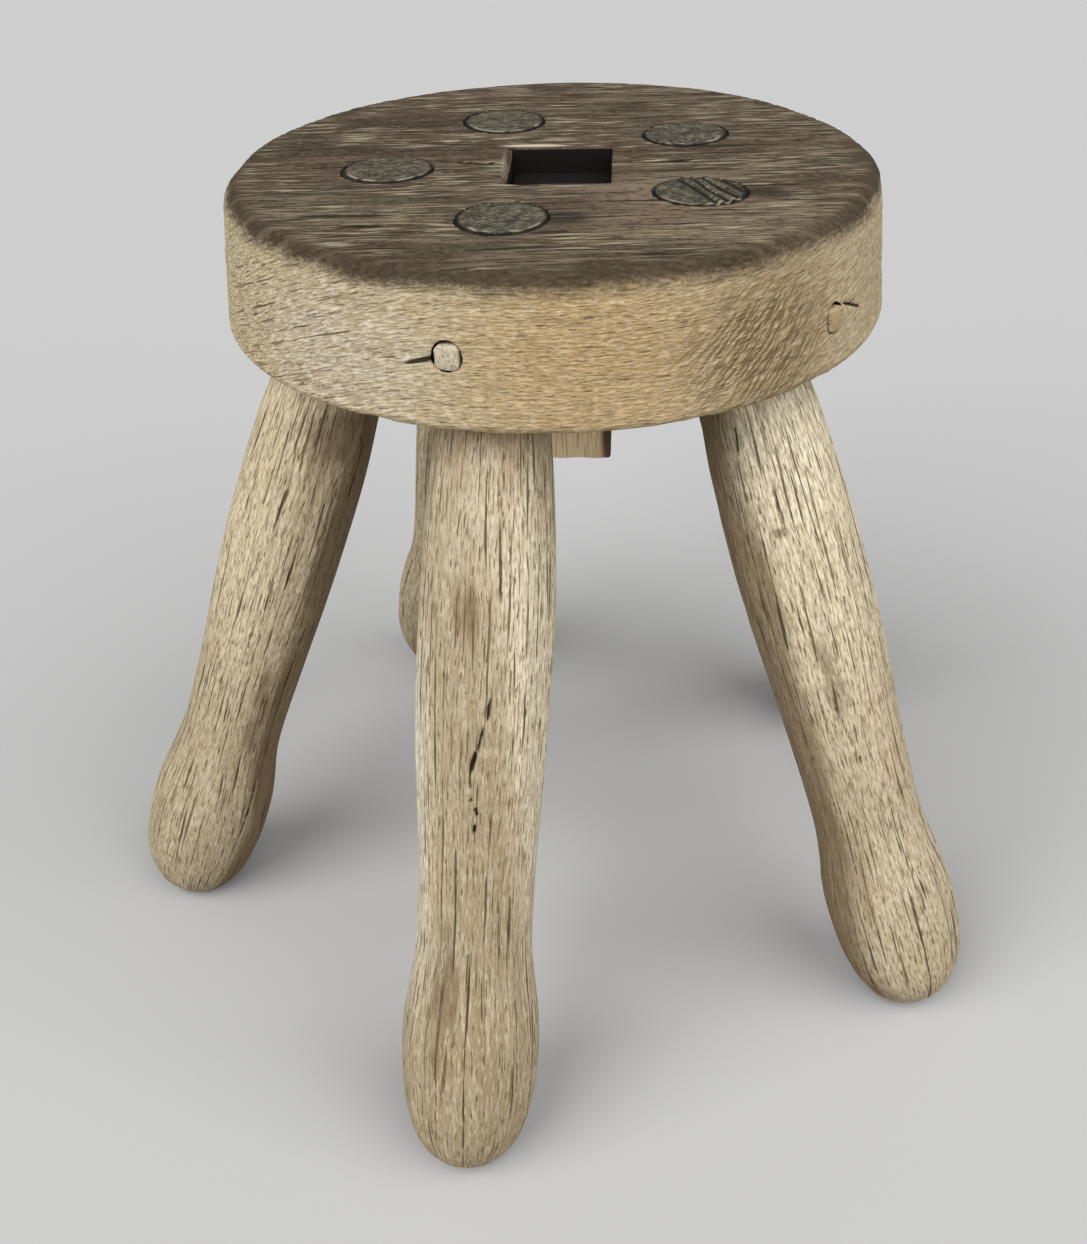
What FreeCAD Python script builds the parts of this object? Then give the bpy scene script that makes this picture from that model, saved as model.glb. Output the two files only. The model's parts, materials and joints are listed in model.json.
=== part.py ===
import FreeCAD, Part
import math
import os
from collections import namedtuple

from FreeCAD import Placement, Rotation, Vector

os.makedirs("parts", exist_ok=True)

# Five-legged milking stool in oak, in millimetres and degrees.
# +Z is up, the floor is at Z = 0 and the front of the stool faces -Y.

# Seat: one thick slab with its grain along X, cut round and since shrunk across the grain.
# Its edge leans outwards a little on the way down, and its top arris is worn round.
SEAT_HEIGHT = 346.0
SEAT_THICKNESS = 54.0
SEAT_LENGTH = 259.5
SEAT_WIDTH = 252.5
SEAT_LEAN = 5.0
SEAT_TOP_ROUND = 6.0
SEAT_UNDER_ROUND = 4.0

# The legs were set out by eye on a ring whose middle lies in front of the seat's own
SEAT_SHIFT_X = -0.4
SEAT_SHIFT_Y = 5.0
TENON_RING_RADIUS = 63.4
TOE_RING_RADIUS = 190.0

# Round through tenons, the raked holes that they fill and the shoulder under the seat
TENON_DIAMETER = 33.0
TENON_CLEARANCE = 0.2
TENON_PROUD = 0.4
SHOULDER_WIDTH = 2.4

# Leg: a swell under the seat, a waist and a club foot that the floor has worn flat
SWELL_DIAMETER = 52.0
SWELL_DEPTH = 90.0
WAIST_DIAMETER = 45.4
WAIST_HEIGHT = 98.0
CLUB_DIAMETER = 55.5
CLUB_HEIGHT = 47.5
TOE_WEAR = 1.2

# Lock pegs: tapered square pegs, driven through the seat's edge and each tenon
PEG_WIDTH = 9.0
PEG_HOLE_DIAMETER = 10.6
PEG_CLEARANCE = 0.15
PEG_TAPER = 1.2
PEG_DEPTH = 30.0
PEG_PAST_TENON = 9.0
PEG_PROUD = 0.6
PEG_END_GAP = 1.0
PEG_STRAY = -2.0

# Centre block: fills a near-square hole through the seat, sunk at the top and long below
BLOCK_WIDTH = 39.0
BLOCK_DEPTH = 44.0
BLOCK_CLEARANCE = 0.25
BLOCK_TURN = -3.0
BLOCK_SHIFT_X = 2.9
BLOCK_SHIFT_Y = -0.4
BLOCK_DROP = 59.5
BLOCK_END_ROUND = 3.0
POCKET_DEPTH = 9.5

# Each leg: azimuth of its tenon, twist from the tenon to the toe, how far tenon and toe stray
# outwards from their rings, and how far its lock peg strays below the usual depth
Leg = namedtuple("Leg", "azimuth twist tenon_stray toe_stray peg_stray")
LEGS = {
    "front": Leg(253.2, 3.3, -1.6, -1.2, -3.0),
    "right": Leg(325.5, 1.9, 0.8, -6.0, 3.5),
    "back_right": Leg(34.3, 3.0, 1.2, 0.0, 0.0),
    "back_left": Leg(107.7, 5.3, 0.5, 2.6, -2.0),
    "left": Leg(180.5, 4.8, -0.9, 0.3, 1.0),
}

# Shares of a run's length at which the leg's curves leave and reach its widest and narrowest places
SHAFT_EASE = 0.42
TOE_FULLNESS = 0.67

# Room by which a cutting shape passes the face that it cuts
OVERCUT = 5.0

UP = Vector(0, 0, 1)
UNDERSIDE = SEAT_HEIGHT - SEAT_THICKNESS
SEAT_MIDDLE = Vector(SEAT_SHIFT_X, SEAT_SHIFT_Y, 0)
TENON_TOP = SEAT_HEIGHT + TENON_PROUD
SHOULDER_DIAMETER = TENON_DIAMETER + 2 * SHOULDER_WIDTH


def polar(azimuth, reach, height=0.0):
    turn = math.radians(azimuth)
    return Vector(reach * math.cos(turn), reach * math.sin(turn), height)


class Axis:
    """Straight raked line of a leg, from the seat's top down to the floor."""

    def __init__(self, leg):
        self.top = polar(leg.azimuth, TENON_RING_RADIUS + leg.tenon_stray, SEAT_HEIGHT)
        self.toe = polar(leg.azimuth + leg.twist, TOE_RING_RADIUS + leg.toe_stray)
        self.direction = (self.toe - self.top).normalize()
        self.stretch = self.top.distanceToPoint(self.toe) / SEAT_HEIGHT

    def distance(self, height):
        """Length along the axis from the seat's top to a height above the floor."""
        return (SEAT_HEIGHT - height) * self.stretch

    def point(self, height):
        return self.top + self.direction * self.distance(height)

    def rod(self, diameter, low, high):
        """Round rod along the axis between two heights."""
        length = self.distance(low) - self.distance(high)
        return Part.makeCylinder(diameter / 2, length, self.point(high), self.direction)


def layer(low, high):
    """Block wider than the stool between two heights, for level trimming."""
    span = 2 * (TOE_RING_RADIUS + CLUB_DIAMETER + SEAT_LENGTH)
    return Part.makeBox(span, span, high - low, Vector(-span / 2, -span / 2, low))


def curve(*poles):
    bezier = Part.BezierCurve()
    bezier.setPoles(list(poles))
    return bezier.toShape()


def ease(start, end):
    """Curve between two stations of the shaft that leaves and arrives along the leg."""
    run = Vector(0, 0, (end.z - start.z) * SHAFT_EASE)
    return curve(start, start + run, end - run, end)


def shaft(axis):
    """Shaft of a leg, turned about its axis: local Z runs down the leg from the seat's top."""

    def station(diameter, height):
        return Vector(diameter / 2, 0, axis.distance(height))

    collar = station(SHOULDER_DIAMETER, UNDERSIDE + SHOULDER_DIAMETER / 2)
    shoulder = station(SHOULDER_DIAMETER, UNDERSIDE)
    swell = station(SWELL_DIAMETER, UNDERSIDE - SWELL_DEPTH)
    waist = station(WAIST_DIAMETER, WAIST_HEIGHT)
    club = station(CLUB_DIAMETER, CLUB_HEIGHT)
    head = Vector(0, 0, collar.z)
    tip = Vector(0, 0, axis.distance(-TOE_WEAR))

    swell_lead = Vector(swell.x, 0, (shoulder.z + swell.z) / 2)
    toe_run = Vector(0, 0, (tip.z - club.z) * TOE_FULLNESS)
    toe_width = Vector(club.x * TOE_FULLNESS, 0, 0)
    outline = Part.Wire([
        Part.makeLine(head, collar),
        Part.makeLine(collar, shoulder),
        curve(shoulder, swell_lead, swell),
        ease(swell, waist),
        ease(waist, club),
        curve(club, club + toe_run, tip + toe_width, tip),
        Part.makeLine(tip, head),
    ])
    turned = Part.Face(outline).revolve(Vector(), UP, 360)
    turned.Placement = Placement(axis.top, Rotation(UP, axis.direction))
    return turned


def seat_radii(drop):
    """Half the seat's length and half its width at a depth below its top."""
    lean = SEAT_LEAN * (SEAT_THICKNESS - drop) / SEAT_THICKNESS
    return SEAT_LENGTH / 2 - lean, SEAT_WIDTH / 2 - lean


def seat_outline(drop):
    """Oval outline of the seat at a depth below its top."""
    half_length, half_width = seat_radii(drop)
    middle = SEAT_MIDDLE + UP * (SEAT_HEIGHT - drop)
    short_end, long_end = sorted(
        (Vector(half_length, 0, 0), Vector(0, half_width, 0)), key=lambda end: end.Length
    )
    return Part.Wire(Part.Ellipse(middle + long_end, middle + short_end, middle).toShape())


def peg_ends(leg, axis):
    """Inner end, past the tenon, and outer end, at the seat's edge, of a leg's lock peg."""
    depth = PEG_DEPTH + leg.peg_stray
    middle = SEAT_MIDDLE + UP * (SEAT_HEIGHT - depth)
    aim = axis.point(middle.z) - middle
    outward = Rotation(UP, PEG_STRAY).multVec(aim).normalize()
    half_length, half_width = seat_radii(depth)
    edge = 1 / math.hypot(outward.x / half_length, outward.y / half_width)
    inner = math.hypot(aim.x, aim.y) - TENON_DIAMETER / 2 - PEG_PAST_TENON
    return middle + outward * inner, middle + outward * (edge + PEG_PROUD)


def peg_bore(leg, axis):
    """Blind radial hole from the seat's edge through the tenon."""
    inner, outer = peg_ends(leg, axis)
    outward = (outer - inner).normalize()
    start = inner - outward * PEG_END_GAP
    depth = outer.distanceToPoint(start) + OVERCUT
    return Part.makeCylinder(PEG_HOLE_DIAMETER / 2, depth, start, outward)


def make_leg(leg):
    axis = Axis(leg)
    body = shaft(axis).common(layer(0, UNDERSIDE))
    tenon = axis.rod(TENON_DIAMETER, UNDERSIDE - SHOULDER_DIAMETER / 2, TENON_TOP + TENON_DIAMETER)
    tenon = tenon.common(layer(0, TENON_TOP))
    return body.fuse(tenon).cut(peg_bore(leg, axis)).removeSplitter()


def make_peg(leg):
    """Square peg with its corners pared to the hole, tapering to its inner end."""
    inner, outer = peg_ends(leg, Axis(leg))
    length = outer.distanceToPoint(inner)
    head = PEG_HOLE_DIAMETER / 2 - PEG_CLEARANCE
    tip = head - PEG_TAPER / 2
    square = Part.makeBox(PEG_WIDTH, PEG_WIDTH, length, Vector(-PEG_WIDTH / 2, -PEG_WIDTH / 2, 0))
    peg = square.common(Part.makeCone(tip, head, length))
    outward = outer - inner
    peg.Placement = Placement(inner, Rotation(outward.cross(UP), UP, outward, "ZYX"))
    return peg


def block_column(clearance, low, high):
    """Upright square column on the centre block's plan, grown by a clearance."""
    width = BLOCK_WIDTH + 2 * clearance
    depth = BLOCK_DEPTH + 2 * clearance
    column = Part.makeBox(width, depth, high - low, Vector(-width / 2, -depth / 2, low))
    column.Placement = Placement(Vector(BLOCK_SHIFT_X, BLOCK_SHIFT_Y, 0), Rotation(UP, BLOCK_TURN))
    return column


def make_centre_block():
    low = UNDERSIDE - BLOCK_DROP
    block = block_column(0, low, SEAT_HEIGHT - POCKET_DEPTH)
    lower_edges = [edge for edge in block.Edges if abs(edge.CenterOfMass.z - low) < BLOCK_END_ROUND / 2]
    return block.makeFillet(BLOCK_END_ROUND, lower_edges)


def make_seat():
    slab = Part.makeLoft([seat_outline(SEAT_THICKNESS), seat_outline(0)], True, True)
    for radius, height in ((SEAT_TOP_ROUND, SEAT_HEIGHT), (SEAT_UNDER_ROUND, UNDERSIDE)):
        rim = [edge for edge in slab.Edges if abs(edge.CenterOfMass.z - height) < radius / 2]
        slab = slab.makeFillet(radius, rim)
    slab = slab.cut(block_column(BLOCK_CLEARANCE, UNDERSIDE - OVERCUT, SEAT_HEIGHT + OVERCUT))
    for leg in LEGS.values():
        axis = Axis(leg)
        hole_diameter = TENON_DIAMETER + 2 * TENON_CLEARANCE
        hole = axis.rod(hole_diameter, UNDERSIDE - hole_diameter, SEAT_HEIGHT + hole_diameter)
        slab = slab.cut(hole).cut(peg_bore(leg, axis))
    return slab


solids = {"seat": make_seat(), "centre_block": make_centre_block()}
for name, leg in LEGS.items():
    solids["leg_" + name] = make_leg(leg)
    solids["peg_" + name] = make_peg(leg)

# The origin is on the floor, under the middle of the stool's outline
box = Part.makeCompound(list(solids.values())).optimalBoundingBox(False, False)
to_origin = Vector(-(box.XMin + box.XMax) / 2, -(box.YMin + box.YMax) / 2, 0)
for name, solid in solids.items():
    solid.translate(to_origin)
    solid.exportStep("parts/" + name + ".step")
    print(name, solid.isValid(), len(solid.Solids), round(solid.Volume / 1000, 1))
print("middle of the legs' rings from the origin:", to_origin)
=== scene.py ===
import json
import math

import bmesh
import bpy
from mathutils import Matrix, Vector, geometry, noise


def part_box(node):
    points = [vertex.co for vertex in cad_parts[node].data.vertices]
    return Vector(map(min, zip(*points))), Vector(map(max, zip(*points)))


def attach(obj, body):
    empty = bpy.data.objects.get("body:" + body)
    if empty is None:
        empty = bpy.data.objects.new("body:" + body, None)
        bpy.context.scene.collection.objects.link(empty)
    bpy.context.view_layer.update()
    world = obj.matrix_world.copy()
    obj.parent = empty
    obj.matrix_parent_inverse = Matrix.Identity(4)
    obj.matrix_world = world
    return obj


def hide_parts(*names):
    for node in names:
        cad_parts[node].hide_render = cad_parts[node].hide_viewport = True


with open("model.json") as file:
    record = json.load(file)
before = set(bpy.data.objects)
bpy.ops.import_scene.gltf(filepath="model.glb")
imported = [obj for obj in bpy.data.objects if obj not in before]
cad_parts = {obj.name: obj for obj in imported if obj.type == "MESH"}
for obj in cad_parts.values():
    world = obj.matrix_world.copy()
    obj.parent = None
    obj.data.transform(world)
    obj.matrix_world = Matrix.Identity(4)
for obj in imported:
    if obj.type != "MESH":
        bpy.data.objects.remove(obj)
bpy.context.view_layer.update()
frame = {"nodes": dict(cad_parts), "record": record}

# Worn oak milking stool, in metres, in the frame of its CAD model

UP = Vector((0, 0, 1))
MM = 0.001

# Distance within which two places count as one
HAIR = 0.00001

# Camera at the photograph's viewing angle
CAMERA_PLACE = Vector((0.0164, -0.5602, 0.5166))
CAMERA_TURN = math.radians(0.90)
CAMERA_TILT = math.radians(56.01)
CAMERA_ROLL = math.radians(-1.81)
CAMERA_LENS = 42.86

# Seat: what the CAD model measures, and what wear has done to it
SEAT_LOW, SEAT_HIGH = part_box("seat")
SEAT_MIDDLE = (SEAT_LOW + SEAT_HIGH) / 2
SEAT_TOP = SEAT_HIGH.z
UNDERSIDE = SEAT_LOW.z
SEAT_LEAN = 5.0 * MM
SEAT_SIDES = 144
ARRIS_ROUND = 6.0 * MM
UNDER_ROUND = 4.0 * MM
HOLE_SIDES = 96
HOLE_WEAR = 0.8 * MM
# Depth below the top past which the walls of the holes are near-black painted shade
HOLE_SHADE_RUN = 1.2 * MM
POCKET_WEAR = 0.8 * MM
POCKET_MOUTH = 7.0 * MM

# Shares of the seat's half width at which its flat ends, and past which a place counts as its edge
FLAT_SHARE = 0.94
EDGE_SHARE = 0.9

# How far up a face's normal points where the face is level
LEVEL_FACE = 0.999

# How far down its edge the seat is dark with handling, and how far down the pale edge starts and is full
PATINA_DEPTH = 6.6 * MM
PALE_START = 2.5 * MM
PALE_FULL = 6.5 * MM

# Dips, worn rims and grain of the seat: heights in millimetres, and the share of ridges that a rim has lost
TOP_DIPS = 0.5
RIM_DIPS = 0.8
RIM_WEAR = 0.5
RIM_POLISH = 0.85
GRAIN_RIDGES = 0.2
PORE_DEPTH = 0.4
GRAIN_WAVER = 2.2 * MM

# Grain round the seat's edge: angles over which its climb sets in at either side, and slopes that it reaches
LEFT_RUN = math.radians(50)
RIGHT_RUN = math.radians(30)
LEFT_SLOPE = 0.4
RIGHT_SLOPE = 0.2

# Spacing of the seat's mesh: wide along the grain, close across it
CUT_ALONG = 3.0 * MM
CUT_ACROSS = 0.8 * MM
CUT_DOWN = 1.0 * MM
CUT_UNDER = 5.0 * MM

# Legs: sizes of the CAD model's profile
LEG_NAMES = ("front", "right", "back_right", "back_left", "left")
TENON_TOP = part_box("leg_front")[1].z
TENON_RADIUS = 16.5 * MM
TENON_CLEARANCE = 0.2 * MM
TENON_WEAR = 2.0 * MM
SHOULDER_RADIUS = 18.9 * MM
SWELL_RADIUS = 26.0 * MM
SWELL_HEIGHT = UNDERSIDE - 90.0 * MM
WAIST_RADIUS = 22.7 * MM
WAIST_HEIGHT = 98.0 * MM
CLUB_RADIUS = 27.75 * MM
CLUB_HEIGHT = 47.5 * MM
TIP_HEIGHT = -1.2 * MM
SHAFT_EASE = 0.42
TOE_FULLNESS = 0.67
TOE_SETBACK = 7.5 * MM
LEVEL_RUN = 60.0 * MM
SHOULDER_FADE = 4.0 * MM

# Spacing of a leg's mesh: rings down the leg and steps round it
LEG_STEPS = 216
RING_STEP = 2.0 * MM
END_STEP = 0.8 * MM
HIDDEN_STEP = 6.0 * MM

# Lock pegs, and how far they have settled in their bores
PEG_WIDTH = 9.0 * MM
PEG_FACE = 8.3 * MM
PEG_SAG = Vector((0.2, 0, -0.6)) * MM
PEG_PARING = 1.9 * MM
PEG_END_ROUND = 0.5 * MM
PEG_HOLE_RADIUS = 5.3 * MM

# Centre block
BLOCK_LOW, BLOCK_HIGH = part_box("centre_block")
BLOCK_MIDDLE = (BLOCK_LOW + BLOCK_HIGH) / 2
BLOCK_WIDTH = 39.0 * MM
BLOCK_DEPTH = 44.0 * MM
BLOCK_CLEARANCE = 0.25 * MM
BLOCK_TURN = math.radians(-3)
BLOCK_ARRIS = 1.2 * MM
# Height over which the block's top turns to near-black painted shade inside the pocket
BLOCK_SHADE_RUN = 30.0 * MM

# Middles of the worn flats under the toes
FEET = {
    mount["name"].removeprefix("foot_"): Vector(mount["pos_m"])
    for mount in frame["record"]["mounts"] if mount["name"].startswith("foot_")
}

# Flats that the drawknife left round a leg, and its unevenness: heights in millimetres
FACETS = 11
FACET_SHARE = 0.38
SHAFT_WOBBLE = 0.55
SHAVING_RIDGES = 0.13
GROOVE_DEPTH = 0.35
END_GRAIN_DEPTH = 0.14

# Floor and light: each lamp's azimuth, elevation and width in degrees, and its strength
BACKDROP = "#CCCCCC"
FLOOR_SEEN = "#B5B5B5"
FLOOR_BOUNCE = "#A39F97"
FLOOR_REACH = 8.0
FILL_LEVEL = 0.30
LAMPS = (("key", -48, 44, 50, 0.82), ("side", 52, 44, 60, 0.68))

# Drying cracks of each leg: distance down the leg and angle from its outer side, at both ends, then width
# and depth, in millimetres and degrees
LEG_CRACKS = {
    "front": (
        (74, 2, 90, -5, 1.0, 0.8), (92, -20, 106, -26, 1.0, 0.8), (86, -57, 100, -65, 1.2, 0.8),
        (115, -63, 134, -67, 1.1, 0.8), (166, -19, 176, -16, 2.4, 1.4), (178, -14, 188, -9, 2.0, 1.2),
        (187, -8, 196, -4, 4.2, 2.2), (196, -4, 203, -4, 2.0, 1.0), (205, -5, 208, -6, 2.6, 1.6),
        (209, -9, 213, -11, 3.0, 1.8), (216, -9, 220, -8, 3.4, 2.0), (150, 22, 170, 20, 1.0, 0.7),
        (232, 30, 252, 28, 1.1, 0.7), (262, 18, 300, 16, 1.2, 0.8), (268, -6, 296, -8, 1.2, 0.8),
        (280, -24, 310, -25, 1.1, 0.7),
    ),
    "right": (
        (82, 88, 92, 90, 1.8, 1.2), (104, 50, 125, 47, 1.1, 0.8), (196, 78, 226, 75, 1.2, 0.8),
        (204, 63, 233, 53, 1.4, 0.8), (245, 34, 327, 32, 1.3, 0.9), (253, 45, 283, 46, 1.2, 0.7),
        (140, 34, 176, 32, 1.0, 0.7), (150, 52, 190, 50, 1.0, 0.7), (72, 66, 98, 62, 1.1, 0.7),
        (160, 10, 200, 8, 1.0, 0.7),
    ),
    "left": (
        (102, -42, 125, -47, 1.1, 0.7), (137, -46, 167, -46, 1.3, 0.7), (162, -82, 186, -85, 1.1, 0.7),
        (285, -129, 320, -120, 1.8, 1.3), (268, -117, 271, -117, 2.0, 1.2), (90, -70, 104, -70, 1.0, 0.7),
        (120, -118, 200, -117, 1.4, 0.8), (210, -75, 232, -74, 1.0, 0.7),
    ),
    "back_right": (
        (90, 20, 130, 16, 1.2, 1.1), (180, -60, 230, -62, 1.3, 1.1), (250, 120, 300, 122, 1.4, 1.2),
    ),
    "back_left": (
        (100, -20, 140, -24, 1.2, 1.1), (170, 50, 240, 52, 1.4, 1.2), (260, 160, 310, 156, 1.3, 1.1),
    ),
}

# Knots and stains of the legs: distance down the leg, angle, length and width, in the same units
LEG_STAINS = {
    "front": ((134, 2, 22, 15), (285, 12, 70, 14)),
    "right": ((126, 68, 7, 16), (300, 28, 10, 8), (190, 60, 60, 10)),
    "left": ((104, -100, 46, 22), (97, -122, 60, 14), (250, -110, 90, 12)),
    "back_right": ((150, 100, 30, 14),),
    "back_left": ((130, -140, 40, 16),),
}

# Angle from its outer side at which painted shade on each leg's inner flank begins
SHADED_INNER_FLANKS = {"front": 98, "right": 74, "back_right": 98, "back_left": 98, "left": 102}

# How each tenon's end was left: pitch and depth of its tool marks in millimetres, the way across them in
# degrees from +X, and how far over the end they start
END_MARKS = {
    "front": (7.0, 0.17, -25, -20), "right": (4.6, 0.60, 22, -3), "back_right": (5.5, 0.17, 5, -20),
    "back_left": (11.0, 0.06, 40, -20), "left": (8.0, 0.08, 65, -20),
}

# Cracks of the seat from point to point, then width and depth, in millimetres
SEAT_CRACKS = (
    ((-29, 11.9, 346), (-4, 7.3, 346), 2.0, 1.6), ((-29, -2.0, 346), (-14, -3.0, 346), 1.6, 1.2),
    ((-82, 7.6, 346), (-62, 8.7, 346), 1.3, 1.0), ((88, 28.9, 346), (116, 26.6, 346), 1.4, 1.1),
    ((42, 20, 346), (80, 17, 346), 1.3, 1.0), ((40, 6, 346), (72, 4, 346), 1.3, 1.0),
    ((44, 12, 346), (96, 8, 346), 1.2, 0.9), ((-50, 40, 346), (-6, 36, 346), 1.2, 0.9),
    ((14, -78, 346), (56, -80, 346), 1.5, 1.0), ((-56, -60, 346), (-42, -61, 346), 2.6, 1.2),
    ((117, -66, 316), (127, -55, 309.5), 0.8, 1.2),
)

# How far the round edge can stand out from a straight line between two of its points, in millimetres
BULGE = 8.0

# Where a rasp has crossed the right of the seat's front: pitch of its ridges and the way across them, their
# height in millimetres, and how steeply its scratches climb, in degrees
RASP_PLACE = Vector((87, -95, 318)) * MM
RASP_REACH = 30.0 * MM
RASP_PITCH = 2.3 * MM
RASP_ACROSS = 0.5
RASP_UP = 0.72
RASP_DEPTH = 0.22
RASP_CLIMB = 38

# Dry oak: roughness of its dullest and smoothest places, index of refraction, specular level and fine relief
OAK_DULL = 0.92
OAK_SMOOTH = 0.7
OAK_IOR = 1.5
OAK_SPECULAR = 0.15
OAK_RELIEF = 0.7

# Hairline cracks: how many spacings they wander, how fast they taper, and the noise at which they open
CRACK_WANDER = 1.6
CRACK_TAPER = 0.31
CRACK_SHUT = 0.52
CRACK_OPEN = 0.57


def smooth(low, high, value):
    """0 at and before one limit, 1 at and past the other, with an eased run between them."""
    share = min(max((value - low) / (high - low), 0.0), 1.0)
    return share * share * (3 - 2 * share)


def stretched(place, x, y, z):
    """Noise whose features have the given sizes in millimetres."""
    return noise.noise((place.x / (x * MM), place.y / (y * MM), place.z / (z * MM)))


def middle_of(points):
    return Vector([(min(places) + max(places)) / 2 for places in zip(*points)])


def make_object(name, bm):
    mesh = bpy.data.meshes.new(name)
    bm.to_mesh(mesh)
    bm.free()
    thing = bpy.data.objects.new(name, mesh)
    bpy.context.scene.collection.objects.link(thing)
    return thing


def show(name, bm, materials, node):
    """Makes a finished piece that stands for a CAD node."""
    piece = make_object(name, bm)
    for material in materials:
        piece.data.materials.append(material)
    piece.data.shade_smooth()
    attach(piece, "root")
    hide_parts(node)


# Materials

def linear(hex_colour):
    """Linear colour of an sRGB hex value."""
    parts = [int(hex_colour[at:at + 2], 16) / 255 for at in (1, 3, 5)]
    red, green, blue = (
        part / 12.92 if part <= 0.04045 else ((part + 0.055) / 1.055) ** 2.4 for part in parts
    )
    return red, green, blue, 1.0


def add(tree, kind, inputs, **settings):
    """Adds a node with its settings; inputs holds each socket's value, or the socket that feeds it."""
    made = tree.nodes.new("ShaderNode" + kind)
    for name, value in settings.items():
        setattr(made, name, value)
    for name, value in inputs.items():
        if isinstance(value, bpy.types.NodeSocket):
            tree.links.new(value, made.inputs[name])
        else:
            made.inputs[name].default_value = value
    return made


def blank_material(name):
    material = bpy.data.materials.new(name)
    material.use_nodes = True
    material.node_tree.nodes.clear()
    return material


def cloud(tree, coords, size, seed, turn=(0, 0, 0), detail=2.0):
    """Noise with features of two or three sizes in millimetres, turned by angles in degrees."""
    place = {
        "Vector": coords,
        "Location": (0.73 * seed, 0.31 * seed, 0.57 * seed),
        "Scale": [part * MM for part in (*size, 1)[:3]],
        "Rotation": [math.radians(angle) for angle in turn],
    }
    placed = add(tree, "Mapping", place, vector_type="TEXTURE").outputs[0]
    settings = {"Vector": placed, "Scale": 1.0, "Detail": detail}
    return add(tree, "TexNoise", settings, noise_dimensions=f"{len(size)}D").outputs[0]


def spread(tree, value, low, high, strength=1.0):
    """Value drawn out to run from nothing at one limit to a strength at the other."""
    limits = {"Value": value, "From Min": low, "From Max": high, "To Max": strength}
    return add(tree, "MapRange", limits, interpolation_type="SMOOTHSTEP").outputs[0]


def pattern(tree, coords, size, low, high, strength=1.0, seed=0, detail=2.0, turn=(0, 0, 0)):
    """Patches with the given sizes in millimetres. Oak's pores and fibres are about 0.3 mm wide, too fine to
    show, so the finest patterns are drawn coarser, at 0.8 to 1.6 mm."""
    return spread(tree, cloud(tree, coords, size, seed, turn, detail), low, high, strength)


def splits(tree, coords, size, width, strength=1.0, seed=0):
    """Hairline cracks that taper at both ends, in millimetres: about the shorter size apart and the longer
    size long."""
    apart = min(size)
    across = add(tree, "SeparateXYZ", {"Vector": coords}).outputs["X" if size[0] == apart else "Y"]
    bend = {0: cloud(tree, coords, [4 * part for part in size], seed), 1: CRACK_WANDER}
    wander = add(tree, "Math", bend, operation="MULTIPLY").outputs[0]
    spaced = {0: across, 1: 1 / (apart * MM), 2: wander}
    lines = add(tree, "Math", spaced, operation="MULTIPLY_ADD").outputs[0]
    off = add(tree, "Math", {0: lines, 1: 0.5}, operation="PINGPONG").outputs[0]
    tapered = {0: off, 1: -CRACK_TAPER * apart / width, 2: cloud(tree, coords, size, seed + 0.5)}
    opening = add(tree, "Math", tapered, operation="MULTIPLY_ADD").outputs[0]
    return spread(tree, opening, CRACK_SHUT, CRACK_OPEN, strength)


def carried(tree, name, low, high, strength=1.0):
    """Value that the mesh carries, drawn out to a strength."""
    return spread(tree, add(tree, "Attribute", {}, attribute_name=name).outputs["Fac"], low, high, strength)


def level(tree, low, high, strength):
    """Strength that grows from nothing at one height to all of it at another, in millimetres."""
    height = add(tree, "SeparateXYZ", {"Vector": add(tree, "TexCoord", {}).outputs["Object"]}).outputs["Z"]
    return spread(tree, height, low * MM, high * MM, strength)


def near(tree, coords, place, reach, strength, inner=0.25, turn=(0, 0, 0)):
    """Spot of a strength round a place, in millimetres, that fades from an inner share of its reach."""
    about = {
        "Vector": coords,
        "Location": [part * MM for part in place],
        "Scale": [part * MM for part in reach],
        "Rotation": [math.radians(angle) for angle in turn],
    }
    inside = add(tree, "Mapping", about, vector_type="TEXTURE").outputs[0]
    far = add(tree, "VectorMath", {0: inside}, operation="LENGTH").outputs["Value"]
    return spread(tree, far, 1.0, inner, strength)


def within(tree, marks, *areas):
    """Marks that show only as far as each area lets them."""
    for area in areas:
        marks = add(tree, "Math", {0: marks, 1: area}, operation="MULTIPLY").outputs[0]
    return marks


def sunk(tree, surface, *cuts):
    """Height of a surface with cuts in it."""
    for cut in cuts:
        surface = add(tree, "Math", {0: surface, 1: cut}, operation="SUBTRACT").outputs[0]
    return surface


def painted(tree, base, layers):
    """Colour built up in layers: each covers what is under it by its own share."""
    colour = linear(base) if isinstance(base, str) else base
    for share, over in layers:
        over = linear(over) if isinstance(over, str) else over
        colour = add(tree, "Mix", {0: share, 6: colour, 7: over}, data_type="RGBA").outputs[2]
    return colour


def dry_wood(tree, colour, rough, relief, depth):
    """Ends a wood's nodes with a dry surface: roughness follows one pattern, fine relief another."""
    roughness = add(tree, "MapRange", {"Value": rough, "To Min": OAK_DULL, "To Max": OAK_SMOOTH})
    bump = add(tree, "Bump", {"Height": relief, "Strength": OAK_RELIEF, "Distance": depth * MM})
    shader = add(tree, "BsdfPrincipled", {
        "Base Color": colour, "Roughness": roughness.outputs[0], "Normal": bump.outputs[0],
        "IOR": OAK_IOR, "Specular IOR Level": OAK_SPECULAR,
    })
    add(tree, "OutputMaterial", {"Surface": shader.outputs[0]})


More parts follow.
